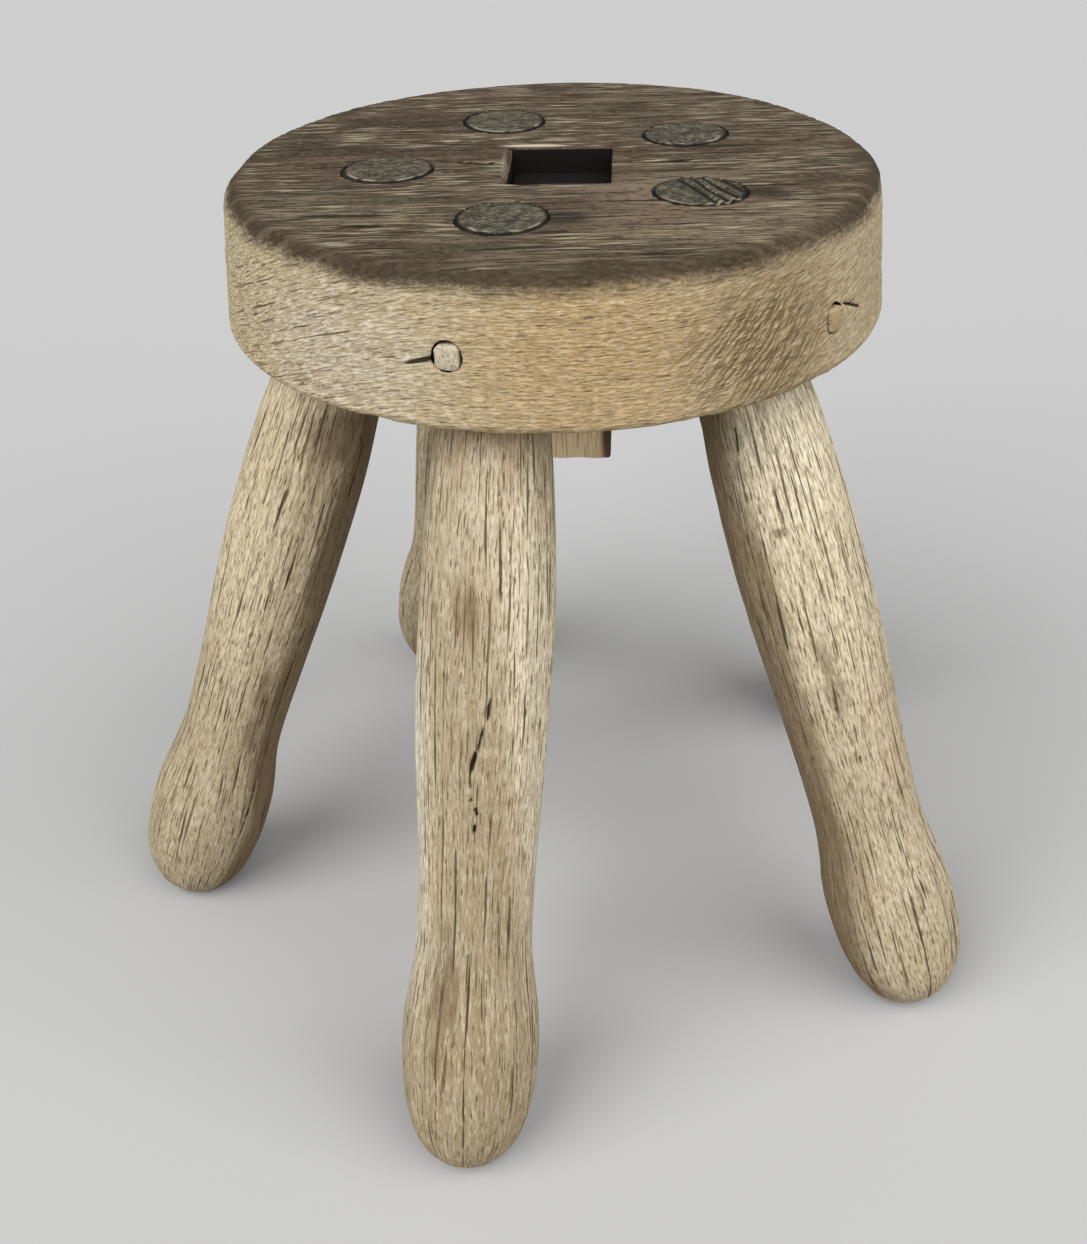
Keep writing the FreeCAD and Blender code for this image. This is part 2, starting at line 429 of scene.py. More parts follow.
def shaved_oak():
    """Oak shaved with the grain, weathered grey: long pale fibres between dark hairline cracks."""
    material = blank_material("shaved_weathered_oak")
    tree = material.node_tree
    coords = add(tree, "Attribute", {}, attribute_name="grain").outputs["Vector"]
    place = add(tree, "TexCoord", {}).outputs["Object"]
    fibres = pattern(tree, coords, (0.8, 9), 0.34, 0.68, 0.5, seed=1, detail=4)
    ridges = pattern(tree, coords, (2.2, 40), 0.48, 0.66, 0.22, seed=8)
    cracks = splits(tree, coords, (5.0, 42), 0.85, 0.8, seed=2)
    hairs = splits(tree, coords, (3.0, 34), 0.65, 0.8, seed=9)
    threads = splits(tree, coords, (1.6, 11), 0.55, 0.8, seed=13)
    ticks = splits(tree, coords, (2.0, 6), 0.6, 0.75, seed=16)
    colour = painted(tree, "#BDAF96", (
        (pattern(tree, coords, (24, 130), 0.45, 0.70, 0.7, seed=4), "#D3C8AF"),
        (pattern(tree, coords, (16, 90), 0.50, 0.74, 0.5, seed=5), "#A69575"),
        (pattern(tree, coords, (22, 50), 0.54, 0.70, 0.5, seed=6), "#C8A98F"),
        (pattern(tree, coords, (26, 50), 0.54, 0.70, 0.45, seed=7), "#ABA68B"),
        # Painted shade darker towards the floor, on the front leg's middle and on its foot, then painted
        # light on the right and left legs, the right toe and both rims of the front leg
        (level(tree, 230, 30, 0.4), "#8C7C62"),
        (near(tree, place, (-18, -150, 140), (21, 80, 240), 0.65), "#8C7C62"),
        (near(tree, place, (-24, -180, 40), (34, 50, 80), 0.7), "#8C7C62"),
        (near(tree, place, (105, -70, 210), (75, 60, 200), 0.8), "#EADDBE"),
        (near(tree, place, (158, -90, 50), (50, 50, 110), 0.5), "#D8CBB0"),
        (near(tree, place, (-105, -12, 190), (60, 60, 190), 0.7), "#E4D5B4"),
        (near(tree, place, (94, -74, 268), (40, 40, 60), 0.9), "#FFF4DA"),
        (near(tree, place, (-80, -20, 275), (40, 40, 50), 0.6), "#F0E2C4"),
        (near(tree, place, (-45, -130, 180), (15, 70, 190), 1.0), "#F4ECD8"),
        (near(tree, place, (6, -130, 180), (15, 70, 190), 0.8), "#E6DCC4"),
        # Fibres and specks, then stains with painted shade on the inner flanks, and cracks
        (ridges, "#DED5BE"),
        (fibres, "#948260"),
        (pattern(tree, coords, (2.5, 12.0), 0.50, 0.70, 0.25, seed=11, detail=3), "#8B7957"),
        (pattern(tree, coords, (0.9, 4.0), 0.46, 0.66, 0.5, seed=14, detail=5), "#7F6F53"),
        (pattern(tree, coords, (0.9, 5.0), 0.50, 0.70, 0.25, seed=15, detail=5), "#E0D6BE"),
        # Knots and stains, with painted shade on each leg's inner flank
        (carried(tree, "stain_and_shade", 0.0, 1.0, 0.75), "#66523A"),
        (threads, "#6B583C"),
        (ticks, "#5F4D34"),
        (hairs, "#5B4A31"),
        (cracks, "#3A2C1C"),
        (carried(tree, "hollow", 0.3, 0.95, 0.95), "#241B12"),
    ))
    dry_wood(tree, colour, ridges, sunk(tree, ridges, cracks, hairs), 0.5)
    return material


def tenon_end_oak():
    """End grain of the tenons, handled dark: grey-green dirt, black tool marks, a near-black ring of painted
    shade round the edge, and its near edge painted pale as a highlight.
    """
    material = blank_material("handled_oak_end_grain")
    tree = material.node_tree
    coords = add(tree, "TexCoord", {}).outputs["Object"]
    specks = pattern(tree, coords, (1.0, 1.0, 1.0), 0.48, 0.64, 0.8, seed=1, detail=3)
    rays = pattern(tree, coords, (3.0, 0.9, 3.0), 0.52, 0.66, 0.6, seed=2)
    colour = painted(tree, "#423D31", (
        (pattern(tree, coords, (5, 5, 5), 0.42, 0.62, 0.8, seed=3), "#5F5A4B"),
        (specks, "#241F17"),
        (rays, "#847C6B"),
        (carried(tree, "hollow", 0.12, 0.5, 0.9), "#1B1711"),
        # Painted highlight on the tenon's near edge
        (carried(tree, "near_rim_highlight", 0.0, 1.0, 0.75), "#A59C89"),
        # Near-black ring on the rounded edge as painted shade of the gap round the tenon
        (carried(tree, "rim", 0.0, 1.0, 0.95), "#0F0C08"),
    ))
    dry_wood(tree, colour, rays, sunk(tree, rays, specks), 0.3)
    return material


def slab_oak():
    """Thick oak slab: a top gone dark with handling and dirt, over a pale, dry, checked edge, with
    near-black painted shade down the walls of its holes.
    """
    material = blank_material("patinated_slab_oak")
    tree = material.node_tree
    coords = add(tree, "TexCoord", {}).outputs["Object"]
    round_edge = add(tree, "Attribute", {}, attribute_name="round_edge").outputs["Vector"]
    top = add(tree, "SeparateXYZ", {"Vector": coords}).outputs["Z"]
    ragged = pattern(tree, coords, (3.4, 3.4, 1.0), 0.2, 0.8, 1.8 * MM, seed=9, detail=3)
    uneven = pattern(tree, coords, (40, 40, 40), 0.3, 0.7, 2.0 * MM, seed=18)
    grainy = pattern(tree, coords, (1.0, 1.0, 0.8), 0.3, 0.7, 0.9 * MM, seed=22)
    height = top
    for unevenness in (ragged, uneven, grainy):
        height = add(tree, "Math", {0: height, 1: unevenness}, operation="ADD").outputs[0]
    dark_top = spread(tree, height, SEAT_TOP - PATINA_DEPTH, SEAT_TOP)
    flat_reach = (SEAT_HIGH - SEAT_LOW) / 2 / MM * FLAT_SHARE
    flat = near(tree, coords, SEAT_MIDDLE / MM, (flat_reach.x, flat_reach.y, 1000), 1.0, inner=0.95)

    clusters = pattern(tree, coords, (60, 24), 0.34, 0.56, seed=19)
    streaks = pattern(tree, coords, (20, 1.2), 0.49, 0.65, 0.9, seed=1, detail=5)
    streaks = within(tree, streaks, clusters, flat)
    lines = within(tree, splits(tree, coords, (14, 1.8), 0.8, 0.85, seed=2), flat)
    grooves = within(tree, splits(tree, coords, (34, 4.2), 1.3, 0.9, seed=11), flat)
    top_colour = painted(tree, "#493D2F", (
        (pattern(tree, coords, (80, 16), 0.42, 0.66, 0.7, seed=4), "#392F23"),
        (pattern(tree, coords, (60, 30), 0.48, 0.70, 0.5, seed=5), "#484335"),
        (pattern(tree, coords, (70, 7), 0.50, 0.68, 0.75, seed=6), "#716250"),
        # Rubbed paler at the right of the front, and darkest at the back left
        (near(tree, coords, (66, -62, 346), (75, 30, 30), 0.5), "#7F6E5C"),
        (near(tree, coords, (56, -30, 346), (44, 26, 30), 0.7), "#7F6E5C"),
        (near(tree, coords, (-60, 70, 346), (130, 110, 30), 0.4), "#30291F"),
        (pattern(tree, coords, (3, 1.6, 1.6), 0.46, 0.70, 0.5, seed=16, detail=4), "#6B5D4A"),
        (pattern(tree, coords, (3, 1.6, 1.6), 0.48, 0.66, 0.6, seed=17, detail=4), "#2A2117"),
        (spread(tree, flat, 1.0, 0.0, 0.4), "#3A3023"),
        (streaks, "#91856E"),
        (lines, "#31261A"),
        (grooves, "#1F1710"),
        # Painted shade at the right of the front and right tenons, a painted highlight on the pocket's back
        # edge, and the pocket's worn left rim painted pale, partly as a highlight
        (near(tree, coords, (92, -36, 346), (16, 9, 12), 0.8), "#251E16"),
        (near(tree, coords, (20, -58, 346), (14, 10, 12), 0.8), "#251E16"),
        (near(tree, coords, (10, 29.0, 346), (17, 2.2, 6), 0.9, inner=0.5, turn=(0, 0, -3)), "#B9AB93"),
        (near(tree, coords, (-2.0, 3, 346), (1.8, 24, 4), 0.4), "#A08F78"),
    ))

    below = spread(tree, top, SEAT_TOP - PALE_START, SEAT_TOP - PALE_FULL)
    fibres = within(tree, pattern(tree, round_edge, (5, 0.9), 0.36, 0.66, 0.6, seed=10, detail=3), below)
    hairs = splits(tree, round_edge, (7, 1.5), 0.55, 0.75, seed=3)
    at_left = near(tree, coords, (-80, -66, 320), (66, 66, 60), 1.0)
    at_right = near(tree, coords, (86, -97, 312), (44, 44, 34), 1.0)
    checks = within(tree, splits(tree, round_edge, (15, 2.4), 0.75, 0.85, seed=13), at_left, below)
    across_rasp = {"Vector": round_edge, "Rotation": (0, 0, math.radians(RASP_CLIMB))}
    rasp_coords = add(tree, "Mapping", across_rasp, vector_type="TEXTURE").outputs[0]
    rasped = pattern(tree, rasp_coords, (9, 1.2), 0.46, 0.60, 0.75, seed=14, detail=1)
    rasped = within(tree, rasped, at_right, below)
    peg_crack = near(
        tree, coords, (-26.6, -108.5, 317.1), (10.5, 20, 1.0), 0.95, inner=0.65, turn=(0, -16, -17.6)
    )
    edge_colour = painted(tree, "#C6B799", (
        (pattern(tree, round_edge, (40, 10), 0.45, 0.70, 0.6, seed=7), "#CBBFA3"),
        # Honey-brown in front, bleached at the left, brown where it was rasped, grey at the right
        (near(tree, coords, (30, -120, 318), (75, 60, 60), 0.8), "#B29566"),
        (near(tree, coords, (-62, -92, 314), (60, 50, 34), 0.75), "#D0C8B8"),
        (near(tree, coords, (90, -92, 318), (46, 50, 60), 0.75), "#997F60"),
        (near(tree, coords, (136, -34, 318), (40, 60, 60), 0.6), "#B9A98C"),
        (pattern(tree, round_edge, (14, 2.2), 0.50, 0.72, 0.5, seed=8), "#9F8963"),
        (pattern(tree, round_edge, (6, 1.1), 0.50, 0.66, 0.3, seed=15, detail=3), "#D9CEB4"),
        (fibres, "#97845F"),
        (pattern(tree, round_edge, (2.4, 1.0), 0.47, 0.66, 0.45, seed=20, detail=5), "#86714D"),
        (pattern(tree, round_edge, (3.0, 1.0), 0.50, 0.70, 0.2, seed=21, detail=5), "#DED4BD"),
        (hairs, "#66523A"),
        (rasped, "#5F4A2E"),
        (checks, "#55442C"),
    ))
    colour = painted(tree, edge_colour, (
        (dark_top, top_colour),
        (peg_crack, "#1A130B"),
        (carried(tree, "hollow", 0.35, 0.6, 0.95), "#1A130B"),
        # Near-black painted shade down the walls of the holes
        (carried(tree, "hole_shade", 0.0, 1.0), "#0E0C09"),
    ))
    relief = sunk(tree, streaks, grooves, fibres, rasped, checks, peg_crack)
    dry_wood(tree, colour, streaks, relief, 0.5)
    return material


def peg_oak():
    """Split oak pegs: pale dry end grain with dark specks, the right one toned like the edge round it."""
    material = blank_material("split_oak_end_grain")
    tree = material.node_tree
    coords = add(tree, "TexCoord", {}).outputs["Object"]
    specks = pattern(tree, coords, (0.8, 0.8, 0.8), 0.50, 0.66, 0.6, seed=1)
    colour = painted(tree, "#C4B8A2", (
        (pattern(tree, coords, (4, 4, 4), 0.45, 0.70, 0.5, seed=2), "#A8997D"),
        (near(tree, coords, (115, -65, 311), (30, 30, 30), 0.8), "#AE9871"),
        (specks, "#75664D"),
    ))
    dry_wood(tree, colour, specks, specks, -0.3)
    return material


def block_oak():
    """Sawn block: pinkish brown with fine upright saw lines, painted pale as light where the seat shades it,
    with painted shade down its front right corner and near-black painted shade where it shows in the pocket.
    """
    material = blank_material("sawn_block_oak")
    tree = material.node_tree
    coords = add(tree, "TexCoord", {}).outputs["Object"]
    lines = pattern(tree, coords, (0.9, 0.9, 20), 0.46, 0.66, 0.5, seed=1)
    top = add(tree, "SeparateXYZ", {"Vector": coords}).outputs["Z"]
    limits = {"Value": top, "From Min": UNDERSIDE, "From Max": UNDERSIDE + BLOCK_SHADE_RUN}
    # Base colour painted pale as light where the seat shades the block
    colour = painted(tree, "#FFEAC2", (
        (pattern(tree, coords, (8, 8, 40), 0.45, 0.70, 0.6, seed=2), "#E8C9A8"),
        (lines, "#8A6A42"),
        # Painted shade down the block's front right corner
        (near(tree, coords, (38, -20, 262), (6, 14, 60), 0.9, inner=0.55), "#3F2F1E"),
        # Near-black painted shade where the block shows in the pocket
        (add(tree, "MapRange", limits).outputs[0], "#0D0B09"),
    ))
    dry_wood(tree, colour, lines, lines, -0.3)
    return material


# Legs

def leg_frame(name):
    """Matrix from a leg's own frame, Z down its line from the tenon's end and X outwards."""
    vertices = frame["nodes"]["leg_" + name].data.vertices
    top = middle_of([vertex.co for vertex in vertices if vertex.co.z > TENON_TOP - HAIR])
    outward = (FEET[name] - top) * Vector((1, 1, 0))
    toe = FEET[name] + outward.normalized() * TOE_SETBACK
    down = (toe - top).normalized()
    side = down.cross(UP).normalized()
    turn = Matrix((side.cross(down), side, down)).transposed()
    return Matrix.Translation(top) @ turn.to_4x4()


def run(start, end, step, leave=None, arrive=None):
    """Points about a step apart after the start of a straight run or a curve."""
    leave = leave or start.lerp(end, 1 / 3)
    arrive = arrive or start.lerp(end, 2 / 3)
    count = max(1, round((end - start).length / step))
    return geometry.interpolate_bezier(start, leave, arrive, end, count + 1)[1:]


def leg_profile(stretch):
    """Half outline of a leg, from the middle of the tenon's end to the tip of the toe."""

    def station(radius, height):
        return Vector((radius, 0, (TENON_TOP - height) * stretch))

    def eased(start, end):
        lead = Vector((0, 0, (end.z - start.z) * SHAFT_EASE))
        return run(start, end, RING_STEP, start + lead, end - lead)

    middle = Vector()
    end_edge = Vector((TENON_RADIUS - TENON_WEAR, 0, 0))
    corner = Vector((TENON_RADIUS, 0, 0))
    rim = Vector((TENON_RADIUS, 0, TENON_WEAR))
    neck = station(TENON_RADIUS, UNDERSIDE)
    shoulder = station(SHOULDER_RADIUS, UNDERSIDE)
    swell = station(SWELL_RADIUS, SWELL_HEIGHT)
    waist = station(WAIST_RADIUS, WAIST_HEIGHT)
    club = station(CLUB_RADIUS, CLUB_HEIGHT)
    tip = station(0, TIP_HEIGHT)
    lead = Vector((swell.x, 0, (shoulder.z + swell.z) / 2))
    toe_run = Vector((0, 0, (tip.z - club.z) * TOE_FULLNESS))
    toe_width = Vector((club.x * TOE_FULLNESS, 0, 0))
    tenon = [middle]
    tenon += run(middle, end_edge, END_STEP)
    tenon += run(end_edge, rim, TENON_WEAR / 4, end_edge.lerp(corner, 0.6), rim.lerp(corner, 0.6))
    tenon += run(rim, neck, HIDDEN_STEP)
    shaft = [shoulder]
    shaft += run(shoulder, swell, RING_STEP, shoulder.lerp(lead, 2 / 3), swell.lerp(lead, 2 / 3))
    shaft += eased(swell, waist)
    shaft += eased(waist, club)
    shaft += run(club, tip, RING_STEP, club + toe_run, tip + toe_width)
    return tenon, shaft


def spun(points, steps):
    """Closed shape made by turning a half outline about Z."""
    bm = bmesh.new()
    vertices = [bm.verts.new(point) for point in points]
    edges = [bm.edges.new(pair) for pair in zip(vertices, vertices[1:])]
    bmesh.ops.spin(
        bm, geom=vertices + edges, cent=(0, 0, 0), axis=(0, 0, 1), angle=math.tau, steps=steps,
        use_merge=True,
    )
    bmesh.ops.remove_doubles(bm, verts=bm.verts, dist=HAIR)
    bmesh.ops.recalc_face_normals(bm, faces=bm.faces)
    return bm


def radius_at(shaft, station):
    """Radius of the shaft's outline at a distance down the leg."""
    for low, high in zip(shaft, shaft[1:]):
        if station <= high.z:
            return low.lerp(high, max((station - low.z) / (high.z - low.z), 0.0)).x
    return 0.0


def off_line(place, angle):
    """Distance round a leg from a line down it to a place, in millimetres."""
    turn = math.degrees(math.atan2(place.y, place.x)) - angle
    return math.radians((turn + 180) % 360 - 180) * math.hypot(place.x, place.y) / MM


def crack_depth(name, place):
    """Depth of a leg's cracks at a place on it, in millimetres."""
    depth = 0.0
    for low, low_angle, high, high_angle, width, deep in LEG_CRACKS[name]:
        share = (place.z / MM - low) / (high - low)
        if 0 < share < 1:
            waver = 0.6 * noise.noise((low, low_angle, place.z / (4 * MM)))
            off = abs(off_line(place, low_angle + (high_angle - low_angle) * share) + waver)
            half = 0.5 * width * math.sqrt(share * (1 - share))
            depth = max(depth, deep * smooth(half + 0.45, half * 0.3, off))
    return depth


def stain_and_shade_share(name, place):
    """How dark a leg's knots and stains, and the painted shade on its inner flank, are at a place on it."""
    turn = math.degrees(math.atan2(place.y, place.x))
    flank = SHADED_INNER_FLANKS[name]
    # Painted shade on the inner flank, which faces down and inwards under the seat
    dark = smooth(flank, flank + 38, abs(turn) + 20 * stretched(place, 9, 9, 60))
    ragged = 0.6 * stretched(place, 3, 3, 14)
    for down, angle, length, width in LEG_STAINS[name]:
        reach = 2 * math.hypot((place.z / MM - down) / length, off_line(place, angle) / width)
        dark = max(dark, 0.75 * smooth(1.2, 0.2, reach + ragged))
    return dark


def shaving(place, seed):
    """Height of the shaved shaft over its true shape, in millimetres."""
    spot = place + seed
    radius = math.hypot(place.x, place.y) / MM
    turn = math.atan2(place.y, place.x) / math.tau * FACETS + 0.5 * noise.noise(spot * 14)
    off = (turn + 0.5) % 1 - 0.5
    flat = radius * (math.cos(math.pi / FACETS) / math.cos(off * math.tau / FACETS) - 1)
    wobble = SHAFT_WOBBLE * stretched(spot, 26, 26, 60)
    ridges = SHAVING_RIDGES * stretched(spot, 2, 2, 45)
    return FACET_SHARE * flat + wobble + ridges


def end_marks(name, spot):
    """Height of the tool marks and end grain on a tenon's end, in millimetres."""
    pitch, depth, direction, start = END_MARKS[name]
    angle = math.radians(direction)
    along = (spot.x * math.cos(angle) + spot.y * math.sin(angle)) / MM
    wave = math.sin((along / pitch + 0.4 * noise.noise(spot * 90)) * math.tau)
    marks = depth * wave * smooth(start - 2, start + 2, along)
    return marks + END_GRAIN_DEPTH * noise.noise(spot * 900)


def make_leg(name, number, shaft_oak, end_oak):
    place_leg = leg_frame(name)
    lean = place_leg[2][0] / place_leg[2][2]
    tenon, shaft = leg_profile(-1 / place_leg[2][2])
    neck = shaft[0].z
    bm = spun(tenon + shaft, LEG_STEPS)
    grain = bm.verts.layers.float_vector.new("grain")
    hollow = bm.verts.layers.float.new("hollow")
    stain_and_shade = bm.verts.layers.float.new("stain_and_shade")
    rim = bm.verts.layers.float.new("rim")
    near_rim_highlight = bm.verts.layers.float.new("near_rim_highlight")
    seed = Vector((0.31, 0.17, 0.53)) * (number + 1)
    for face in bm.faces:
        face.material_index = int(face.calc_center_median().z < TENON_WEAR)
    for vertex in bm.verts:
        station = vertex.co.z
        radius = vertex.co.xy.length
        levelled = smooth(neck + LEVEL_RUN, neck, station)
        place = vertex.co - UP * (levelled * lean * vertex.co.x)
        turn = math.atan2(place.y, place.x)
        vertex[grain] = seed + Vector((turn * WAIST_RADIUS, place.z, 0))
        on_shoulder = station >= neck and radius > SHOULDER_RADIUS - HAIR
        if on_shoulder or station > neck + MM:
            if levelled > 0:
                place.xy *= radius_at(shaft, place.z) / radius
            groove = smooth(0.1, 0.5, stretched(place + seed, 3.2, 3.2, 60))
            crack = crack_depth(name, place)
            vertex[hollow] = min(crack, 1.0)
            vertex[stain_and_shade] = stain_and_shade_share(name, place)
            rise = shaving(place, seed) - max(GROOVE_DEPTH * groove, crack)
            outward = Vector((place.x, place.y, 0)).normalized()
            place += outward * rise * MM * smooth(neck, neck + SHOULDER_FADE, station)
        elif station < TENON_WEAR + HAIR:
            spot = place_leg.to_3x3() @ place
            marks = end_marks(name, spot)
            # Painted highlight along the near side of the end's worn rim
            near_side = smooth(0.0, 0.7, -spot.y / TENON_RADIUS)
            vertex[hollow] = -1.6 * marks
            # Rounded edge of the tenon's end, painted near-black as shade of the gap round it
            vertex[rim] = smooth(TENON_RADIUS - 0.9 * TENON_WEAR, TENON_RADIUS - 0.5 * TENON_WEAR, radius)
            broken = smooth(-0.45, 0.25, stretched(spot + seed, 4, 4, 4))
            highlight_ring = smooth(TENON_RADIUS - 1.5 * TENON_WEAR, TENON_RADIUS - TENON_WEAR, radius)
            vertex[near_rim_highlight] = near_side * broken * highlight_ring
            place.z -= marks * MM
        vertex.co = place_leg @ place
        vertex.co.z = max(vertex.co.z, 0.0)
    show("leg_" + name + "_shaved", bm, (shaft_oak, end_oak), "leg_" + name)


# Seat

def peg_line(name):
    """Middles of the inner and outer ends of a lock peg, from its CAD mesh."""
    points = [vertex.co for vertex in frame["nodes"]["peg_" + name].data.vertices]
    outward = (middle_of(points) - SEAT_MIDDLE) * Vector((1, 1, 0))
    reach = [point.dot(outward.normalized()) for point in points]
    return [
        middle_of([point for point, far in zip(points, reach) if abs(far - limit) < PEG_WIDTH / 12])
        for limit in (min(reach), max(reach))
    ]


def along_line(start, end, before):
    """Matrix of a frame with Z along a line, starting some way before it."""
    turn = (end - start).to_track_quat("Z", "Y").to_matrix().to_4x4()
    return Matrix.Translation(start) @ turn @ Matrix.Translation((0, 0, -before))


def tenon_holes():
    """Cutting shapes of the raked tenon holes, worn wide at the top."""
    radius = TENON_RADIUS + TENON_CLEARANCE
    deep = 2 * (SEAT_TOP - UNDERSIDE)
    outline = (
        Vector((0, 0, -HOLE_WEAR)), Vector((radius + 2 * HOLE_WEAR, 0, -HOLE_WEAR)),
        Vector((radius + 0.3 * HOLE_WEAR, 0, 0.6 * HOLE_WEAR)), Vector((radius, 0, 2 * HOLE_WEAR)),
        Vector((radius, 0, deep)), Vector((0, 0, deep)),
    )
    bm = bmesh.new()
    for name in LEG_NAMES:
        hole = spun(outline, HOLE_SIDES)
        place = leg_frame(name)
        lean = place[2][0] / place[2][2]
        for vertex in hole.verts:
            vertex.co = place @ (vertex.co - UP * (lean * vertex.co.x))
        mesh = bpy.data.meshes.new("hole")
        hole.to_mesh(mesh)
        hole.free()
        bm.from_mesh(mesh)
        bpy.data.meshes.remove(mesh)
    return make_object("tenon_holes", bm)


def block_hole(wear):
    """Cutting shape of the square central hole, or of its worn mouth, which is widest at the left."""
    bm = bmesh.new()
    deep = POCKET_MOUTH if wear else 2 * (SEAT_TOP - UNDERSIDE)
    middle = Vector((BLOCK_MIDDLE.x - wear, BLOCK_MIDDLE.y, SEAT_TOP if wear else SEAT_MIDDLE.z))
    across = BLOCK_WIDTH / 2 + BLOCK_CLEARANCE + wear
    along = BLOCK_DEPTH / 2 + BLOCK_CLEARANCE + 0.4 * wear
    stretch = Matrix.Diagonal((across, along, 1, 1))
    place = Matrix.Translation(middle) @ Matrix.Rotation(BLOCK_TURN, 4, "Z") @ stretch
    corner = math.sqrt(2)
    flare = 2 * wear / across
    bmesh.ops.create_cone(
        bm, cap_ends=True, segments=4, radius1=corner * (1 - flare), radius2=corner * (1 + flare),
        depth=deep, matrix=place @ Matrix.Rotation(math.radians(45), 4, "Z"),
    )
    return make_object("block_hole", bm)


def peg_bores():
    """Cutting shapes of the lock pegs' blind holes."""
    bm = bmesh.new()
    for name in LEG_NAMES:
        inner, outer = peg_line(name)
        length = (outer - inner).length + 2 * PEG_WIDTH
        place = along_line(inner, outer, MM) @ Matrix.Translation((0, 0, length / 2))
        bmesh.ops.create_cone(
            bm, cap_ends=True, segments=HOLE_SIDES // 2, radius1=PEG_HOLE_RADIUS, radius2=PEG_HOLE_RADIUS,
            depth=length, matrix=place,
        )
    return make_object("peg_bores", bm)


def sliced(bm, faces, axis, step):
    """Cuts faces by planes a step apart across one axis, and returns what they became."""
    normal = Vector()
    normal[axis] = 1
    place = SEAT_LOW[axis] + step / 3
    geom = faces + list(dict.fromkeys(edge for face in faces for edge in face.edges))
    while place < SEAT_HIGH[axis]:
        cut = bmesh.ops.bisect_plane(
            bm, geom=geom, dist=HAIR / 10, plane_co=normal * place, plane_no=normal
        )
        geom = [part for part in cut["geom"] if not isinstance(part, bmesh.types.BMVert)]
        place += step
    return [part for part in geom if isinstance(part, bmesh.types.BMFace)]


def seat_slab():
    """Slab with rounded rims, its top and edge cut fine across the grain."""
    size = SEAT_HIGH - SEAT_LOW
    bm = bmesh.new()
    place = Matrix.Translation(SEAT_MIDDLE) @ Matrix.Diagonal((size.x / 2, size.y / 2, size.z, 1))
    bmesh.ops.create_cone(
        bm, cap_ends=True, segments=SEAT_SIDES, radius1=1, radius2=1 - 4 * SEAT_LEAN / (size.x + size.y),
        depth=1, matrix=place,
    )
    for height, reach in ((SEAT_TOP, ARRIS_ROUND), (UNDERSIDE, UNDER_ROUND)):
        rim = [edge for edge in bm.edges if all(abs(end.co.z - height) < HAIR for end in edge.verts)]
        bmesh.ops.bevel(
            bm, geom=rim, offset=reach, affect="EDGES", segments=5, profile=0.5, material=-1,
            clamp_overlap=True,
        )
    bm.normal_update()
    under = [face for face in bm.faces if face.normal.z < -LEVEL_FACE]
    skin = [face for face in bm.faces if face.normal.z >= -LEVEL_FACE]
    for axis, step in ((1, CUT_ACROSS), (0, CUT_ALONG)):
        skin = sliced(bm, skin, axis, step)
    sliced(bm, [face for face in skin if face.normal.z < LEVEL_FACE], 2, CUT_DOWN)
    for axis in (1, 0):
        under = sliced(bm, under, axis, CUT_UNDER)
    return bm


def outside(place):
    """How far out a place lies on the seat: 1 at its edge."""
    half = (SEAT_HIGH - SEAT_LOW) / 2
    return math.hypot((place.x - SEAT_MIDDLE.x) / half.x, (place.y - SEAT_MIDDLE.y) / half.y)


def seat_crack_depth(place):
    """Depth of the seat's cracks at a place, in millimetres."""
    depth = 0.0
    spot = place / MM
    for start, end, width, deep in SEAT_CRACKS:
        start, end = Vector(start), Vector(end)
        line = end - start
        share = (spot - start).dot(line) / line.length_squared
        if 0 < share < 1:
            off = spot - start - line * share
            out = ((place - SEAT_MIDDLE) * Vector((1, 1, 0))).normalized()
            if place.z < SEAT_TOP - ARRIS_ROUND and abs(off.dot(out)) < BULGE:
                off -= out * off.dot(out)
            off = off.length + 0.2 * stretched(place, 5, 5, 5)
            half = width * math.sqrt(share * (1 - share))
            depth = max(depth, deep * smooth(half + 0.5, half * 0.3, off))
    return depth


def seat_relief(place, facing):
    """Height of the worn seat over its true shape, in millimetres, and the field of its open grain."""
    flat = smooth(0.8, 0.99, facing.z)
    arris = smooth(0.1, 0.5, facing.z) * smooth(0.99, 0.8, facing.z)
    dips = (TOP_DIPS * flat + RIM_DIPS * arris) * stretched(place, 60, 34, 30)
    wear = -RIM_WEAR * arris * (1 + stretched(place, 30, 30, 30))
    waver = Vector((0, GRAIN_WAVER * stretched(place, 28, 20, 20), 0))
    ridges = GRAIN_RIDGES * (1 - RIM_POLISH * arris) * stretched(place + waver, 34, 2.2, 2.2)
    pore = stretched(place + waver, 30, 2.6, 2.6) * flat + stretched(place, 18, 18, 4) * (1 - flat)
    rasped = smooth(1.0, 0.4, ((place - RASP_PLACE) / RASP_REACH).length)
    stroke = (place.x - place.y) * RASP_ACROSS + place.z * RASP_UP
    rasp = RASP_DEPTH * rasped * math.sin(stroke / RASP_PITCH * math.tau) * (1 - flat)
    return dips + wear + ridges + rasp, pore


def eased_climb(share):
    """How far something has climbed whose slope eases from level to 1 over a share from 0 to 1."""
    share = max(share, 0.0)
    return share ** 3 - share ** 4 / 2 if share < 1 else share - 0.5


def edge_grain(place, centre):
    """Place on the seat's edge measured round it and along its grain, which climbs to the right; a face's
    centre says on which side of the join at the back it lies."""
    about = math.atan2(centre.x - SEAT_MIDDLE.x, SEAT_MIDDLE.y - centre.y)
    turn = math.atan2(place.x - SEAT_MIDDLE.x, SEAT_MIDDLE.y - place.y)
    turn = about + (turn - about + math.pi) % math.tau - math.pi
    climb = RIGHT_SLOPE * RIGHT_RUN * eased_climb(turn / RIGHT_RUN - 0.5)
    climb -= LEFT_SLOPE * LEFT_RUN * eased_climb(-turn / LEFT_RUN)
    radius = SEAT_HIGH.x - SEAT_MIDDLE.x
    return Vector((turn * radius, place.z - climb * radius, 0))


